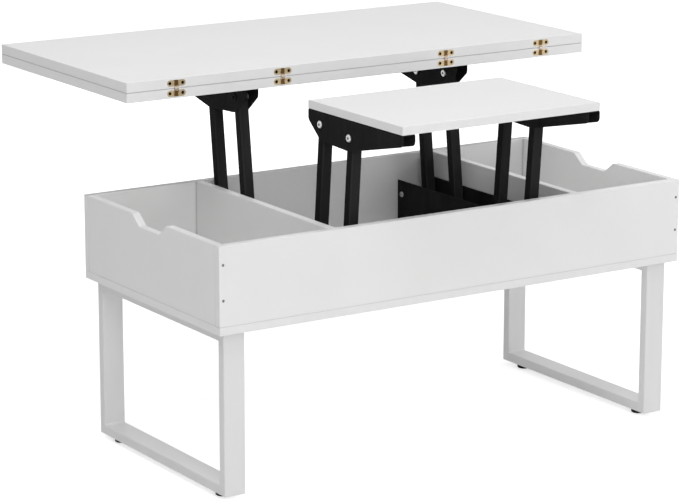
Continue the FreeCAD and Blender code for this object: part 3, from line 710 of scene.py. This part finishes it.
def cross(mesh, span, width, z):
    """The twelve corners of a cross: three of them, turned four times."""
    far, near = span / 2, width / 2
    quarter = [(far, -near), (far, near), (near, near)]
    turns = [(1, 0), (0, 1), (-1, 0), (0, -1)]
    return [mesh.verts.new((x * c - y * s, x * s + y * c, z)) for c, s in turns for x, y in quarter]


def recessed_face(mesh, rim, span):
    """Close a screw head's rim with a face that has a tapered cross recess in it."""
    top = rim[0].co.z
    mouth = cross(mesh, span, span * mouth_width, top)
    foot = cross(mesh, span * foot_span, span * foot_width, top - span * recess_depth)
    bmesh.ops.triangle_fill(mesh, use_beauty=True, edges=loop_edges(mesh, rim) + loop_edges(mesh, mouth))
    bridge(mesh, mouth, foot)
    mesh.faces.new(foot)


print("recess", recess_depth, "times as deep as wide")

# %% [markdown]
# A thread could also be a profile swept along a helix, but that would have to be joined to the shank. Rings
# are joined already: round each ring the radius swings once from root to crest and back, and every ring is
# turned a quarter further than the one above it.

# %% Thread
thread_pitch = 0.0016
thread_depth = 0.00045
rows_in_turn = 4


def thread(mesh, start, shank, length):
    """A threaded shank that goes down from the ring `start` and ends in a point."""
    top = start[0].co.z
    row_height = thread_pitch / rows_in_turn
    rows = int((length - 2 * shank) / row_height)
    last = start
    for row in range(1, rows):
        def ridge(angle):
            share = (row / rows_in_turn - angle / (2 * math.pi)) % 1
            return shank - thread_depth * abs(2 * share - 1)
        turn = ring(mesh, ridge, top - row * row_height)
        bridge(mesh, last, turn)
        last = turn
    tip = mesh.verts.new((0, 0, top - length))
    for step in range(points_around):
        mesh.faces.new((last[step], last[(step + 1) % points_around], tip))


print("thread with a pitch of", 1000 * thread_pitch, "mm")

# %% [markdown]
# Two kinds of head are used: flat ones that sink into a board or a hinge, and rounded pan heads. Each is an
# outline from the face down to the shank, as shares of the head's radius and drops in metres.

# %% Screw heads
flat_rim = 0.96
flat_rim_drop = 0.03
flat_neck = 0.0005
pan_outline = [(0.62, 0.0), (0.80, 0.00022), (0.93, 0.0007), (1.0, 0.0014), (1.0, 0.0024)]
widest_recess = 1.2
recess_share = 1.9


def flat_profile(head, shank):
    """A flat head: a narrow rim and a cone down to the shank."""
    return [(flat_rim, 0.0), (1.0, flat_rim_drop * head), (shank / head, head - shank + flat_neck)]


def pan_profile(head, shank):
    """A pan head: one outline for every head and shank."""
    return pan_outline


def screw(mesh, head, shank, length, profile):
    """One screw with the middle of its head's face at the origin, pointing down."""
    rings = [ring(mesh, head * share, -drop) for share, drop in profile]
    head_height = profile[-1][1]
    rings.append(ring(mesh, shank, -head_height))
    recessed_face(mesh, rings[0], head * min(widest_recess, recess_share * profile[0][0]))
    for first, second in zip(rings, rings[1:]):
        bridge(mesh, first, second)
    thread(mesh, rings[-1], shank, length - head_height)


print("pan heads", round(1000 * pan_outline[-1][1], 2), "mm high")

# %% [markdown]
# The place, direction and size of each screw are read from its solid, so no list of places has to be kept
# here. The solid of a flat head is widest right at its end, and that of a pan head too, so the end with the
# larger radius is the head.

# %% Find a screw's head
end_room = 2e-5


def head_end(low, high, points):
    """The middle of a screw's head, the way it faces, its radius and the screw's length."""
    axis = max(range(3), key=lambda way: high[way] - low[way])
    middle = (low + high) / 2
    ends = []
    for end, sign in ((low, -1), (high, 1)):
        there = [point for point in points if abs(point[axis] - end[axis]) < end_room]
        spot = middle.copy()
        spot[axis] = end[axis]
        facing = Vector((0, 0, 0))
        facing[axis] = sign
        ends.append((max((point - spot).length for point in there), spot, facing))
    radius, spot, facing = max(ends, key=lambda found: found[0])
    return spot, facing, radius, high[axis] - low[axis]


# %% [markdown]
# A screw is built pointing down at the origin, turned so that its head faces the right way, and set on the
# head's middle. All screws of a set are gathered in one piece, which then stands in for the set's plain
# solids and moves with the same body.

# %% Place the screws
hinge_shank = 0.0014
corner_shank = 0.0015
stout_shank = 0.0020
screw_sets = {
    "corner_screws": (flat_profile, corner_shank, "grey_steel"),
    "bottom_screws": (flat_profile, stout_shank, "grey_steel"),
    "upper_hinge_screws": (flat_profile, hinge_shank, "dark_steel"),
    "lower_hinge_screws": (flat_profile, hinge_shank, "dark_steel"),
    "channel_screws": (pan_profile, stout_shank, "dark_steel"),
    "leg_screws": (pan_profile, stout_shank, "dark_steel"),
    "main_bracket_screws": (pan_profile, stout_shank, "dark_steel"),
    "small_bracket_screws": (pan_profile, stout_shank, "dark_steel"),
}


def place_screws(name, profile, shank, finish):
    """Make the screws of a set as one piece that stands in for the plain ones."""
    whole = bmesh.new()
    for low, high, points in shells(name):
        spot, facing, radius, length = head_end(low, high, points)
        single = bmesh.new()
        screw(single, radius, shank, length, profile(radius, shank))
        turn = facing.to_track_quat("Z", "Y").to_matrix().to_4x4()
        single.transform(Matrix.Translation(spot) @ turn)
        data = bpy.data.meshes.new(name)
        single.to_mesh(data)
        single.free()
        whole.from_mesh(data)
        bpy.data.meshes.remove(data)
    piece = new_piece(name + "_crosshead", whole, body_of_node[name], finish)
    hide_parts(name)


for name, (profile, shank, finish) in screw_sets.items():
    place_screws(name, profile, shank, finish)

# %% [markdown]
# ## Welds in the leg frames
# Each leg frame is four mitred tubes, welded and then painted. The outer faces are ground flush, so the
# weld only shows in the inner corners, as a small rippled fillet under the paint. A plain rod would do from
# afar, but it has no ripples. So the bead is built as a run of four-point sections along the corner whose
# size swells and shrinks a little with every ripple.

# %% One weld bead
bead_size = 0.0022
bead_crown = 0.62
ripple_pitch = 0.0018
ripple_share = 0.16
rows_in_ripple = 4
least_rows = 4
tip_share = 0.15
tip_growth = 6


def bead(mesh, start, end, up, across):
    """A fillet from start to end in a corner whose two faces run along `up` and `across`."""
    length = (end - start).length
    count = max(least_rows, int(length / ripple_pitch * rows_in_ripple))
    last = None
    for step in range(count + 1):
        share = step / count
        swell = 1 - ripple_share * abs(math.sin(math.pi * length * share / ripple_pitch))
        taper = min(1.0, tip_growth * share + tip_share, tip_growth * (1 - share) + tip_share)
        size = bead_size * swell * taper
        foot = start.lerp(end, share)
        section = [foot, foot + across * size, foot + (across + up) * size * bead_crown, foot + up * size]
        points = [mesh.verts.new(point) for point in section]
        if last:
            bridge(mesh, last, points)
        else:
            mesh.faces.new(points)
        last = points
    mesh.faces.new(last)


print("beads of", 1000 * bead_size, "mm")

# %% [markdown]
# A frame has four inner corners, where a post meets a rail. They are read from the boxes of the tubes, so
# the beads would follow if the legs were made longer. Each bead stops a little short of the tube's side
# faces, where it was ground away.

# %% Weld beads in both frames
bead_inset = 0.003
for side in ("left", "right"):
    mesh = bmesh.new()
    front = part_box(side + "_front_post")
    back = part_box(side + "_back_post")
    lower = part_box(side + "_bottom_rail")
    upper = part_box(side + "_top_rail")
    near = front[0].x + bead_inset
    far = front[1].x - bead_inset
    for y, across in ((front[1].y, Vector((0, 1, 0))), (back[0].y, Vector((0, -1, 0)))):
        for z, up in ((lower[1].z, Vector((0, 0, 1))), (upper[0].z, Vector((0, 0, -1)))):
            bead(mesh, Vector((near, y, z)), Vector((far, y, z)), up, across)
    new_piece(side + "_leg_welds", mesh, "base", "white_steel")

# %% [markdown]
# ## Floor and white background
# The table stands on a plain pale floor in a white studio. If the lamps alone made the floor pure white,
# they would also burn out the white boards, so the floor gets a little help that only the camera and
# mirror-like surfaces can see: its shader adds some glow when the Light Path node says that such a ray is
# asking. The glow is weaker near the table, so the floor still darkens under it.

# %% Floor finish
floor_white = (grey(0.85), grey(0.87))
floor_rough = 0.8
floor_shine = 0.1
dust_size = 0.5
near_glow = 0.62
far_glow = 0.95
glow_starts = 1.0
glow_ends = 3.5


def seen_directly(tree):
    """1 for rays from the camera, from mirrors and through glass, and 0 for light on its way round."""
    path = add(tree, "LightPath")
    total = arithmetic(tree, "ADD", path.outputs["Is Camera Ray"], path.outputs["Is Glossy Ray"])
    total = arithmetic(tree, "ADD", total, path.outputs["Is Transmission Ray"])
    return arithmetic(tree, "MINIMUM", total, 1.0)


tree, shader = open_finish("floor")
dust = pattern(tree, dust_size, detail=3.0)
away = add(tree, "VectorMath", {"Vector": place(tree)}, operation="LENGTH").outputs["Value"]
glow = spread(tree, away, near_glow, far_glow, glow_starts, glow_ends)
dress(tree, shader, Base_Color=tint(tree, dust, *floor_white), Roughness=floor_rough,
      Specular_IOR_Level=floor_shine, Emission_Color=(1, 1, 1, 1),
      Emission_Strength=arithmetic(tree, "MULTIPLY", seen_directly(tree), glow))

# %% [markdown]
# The floor itself is one large square, so large that its edge stays out of the picture. It belongs to the
# studio and not to the table, so it moves with no body.

# %% Floor
floor_size = 14.0
mesh = bmesh.new()
bmesh.ops.create_grid(mesh, x_segments=1, y_segments=1, size=floor_size / 2)
data = bpy.data.meshes.new("floor")
mesh.to_mesh(data)
mesh.free()
data.materials.append(finishes["floor"])
floor = bpy.data.objects.new("floor", data)
bpy.context.scene.collection.objects.link(floor)
print("floor of", floor_size, "m")

# %% [markdown]
# The world is treated like the floor: pure white where it is seen, in the picture or in a reflection, and
# much dimmer as a lamp, because light from all sides would wash out the shade inside the box.

# %% World
ambient = 0.28
world = bpy.data.worlds.new("studio")
bpy.context.scene.world = world
world.use_nodes = True
tree = world.node_tree
sky = tree.nodes["Background"]
sky.inputs["Color"].default_value = (1, 1, 1, 1)
glow = arithmetic(tree, "MULTIPLY", seen_directly(tree), 1.0 - ambient)
wire(tree, sky.inputs["Strength"], arithmetic(tree, "ADD", glow, ambient))
print("ambient light", ambient)

# %% [markdown]
# ## Lamps
# The tops and the front are the brightest sides in the picture, the left end is a step darker, and inside
# the box the light falls off towards the right, where the raised tops are in its way. No single lamp does
# that, so a ring of large softboxes stands round the table: one overhead, one high on the left, one in
# front on the left that looks in under the raised tops, a low one for the legs and one on the right for the
# dividers. The last one, low behind the table, only fills the back. The two low ones are kept out of
# reflections, or they would draw a streak over every level face that is seen from the far side.

# %% Softboxes
softboxes = {
    "overhead": dict(spot=(0.0, -0.2, 3.2), aim=(0, 0, 0.5), size=(3.0, 3.0), power=30.4),
    "high_left": dict(spot=(-1.8, -1.4, 3.2), aim=(0, 0, 0.45), size=(2.0, 2.0), power=24.0),
    "front_left": dict(spot=(-1.2, -3.0, 2.0), aim=(0, 0, 0.45), size=(1.6, 1.2), power=16.0),
    "low_front": dict(spot=(-0.6, -3.6, 0.7), aim=(0, 0, 0.3), size=(3.2, 1.0), power=16.7),
    "right": dict(spot=(3.0, -1.2, 1.6), aim=(0, 0, 0.45), size=(1.6, 1.6), power=31.0),
    "back": dict(spot=(0.2, 3.6, 0.6), aim=(0, 0, 0.4), size=(3.2, 0.9), power=24.0),
}
out_of_reflections = ("low_front", "back")


def hang_softbox(name, spot, aim, size, power):
    """A rectangular lamp at one spot that shines towards another."""
    lamp = bpy.data.lights.new(name + "_softbox", "AREA")
    lamp.shape = "RECTANGLE"
    lamp.size, lamp.size_y = size
    lamp.energy = power
    softbox = bpy.data.objects.new(lamp.name, lamp)
    softbox.location = spot
    softbox.rotation_euler = (Vector(aim) - Vector(spot)).to_track_quat("-Z", "Y").to_euler()
    softbox.visible_camera = False
    softbox.visible_glossy = name not in out_of_reflections
    bpy.context.scene.collection.objects.link(softbox)
    print(lamp.name, power, "W")


for name, settings in softboxes.items():
    hang_softbox(name, **settings)

# %% [markdown]
# ## Camera
# The picture was taken from the front left, a little above the raised tops, through a long lens. Such a
# view has four numbers: the turn round the table, the height angle, the distance and the lens. The camera
# starts at the point it looks at, is turned about the upright axis, tipped down and then backed off along
# its own axis.

# %% Camera
view_turn = math.radians(-32.738)
view_height = math.radians(13.583)
view_distance = 5.2729
view_aim = Vector((-0.0673, -0.0471, 0.3390))
lens_length = 151.238
film_width = 36.0
camera = bpy.data.objects.new("camera", bpy.data.cameras.new("camera"))
camera.data.lens = lens_length
camera.data.sensor_width = film_width
turned = Matrix.Rotation(view_turn, 4, "Z") @ Matrix.Rotation(math.pi / 2 - view_height, 4, "X")
camera.matrix_world = Matrix.Translation(view_aim) @ turned @ Matrix.Translation((0, 0, view_distance))
bpy.context.scene.collection.objects.link(camera)
bpy.context.scene.camera = camera
bpy.context.scene.view_settings.view_transform = "Standard"
print("camera at", [round(value, 3) for value in camera.matrix_world.translation])
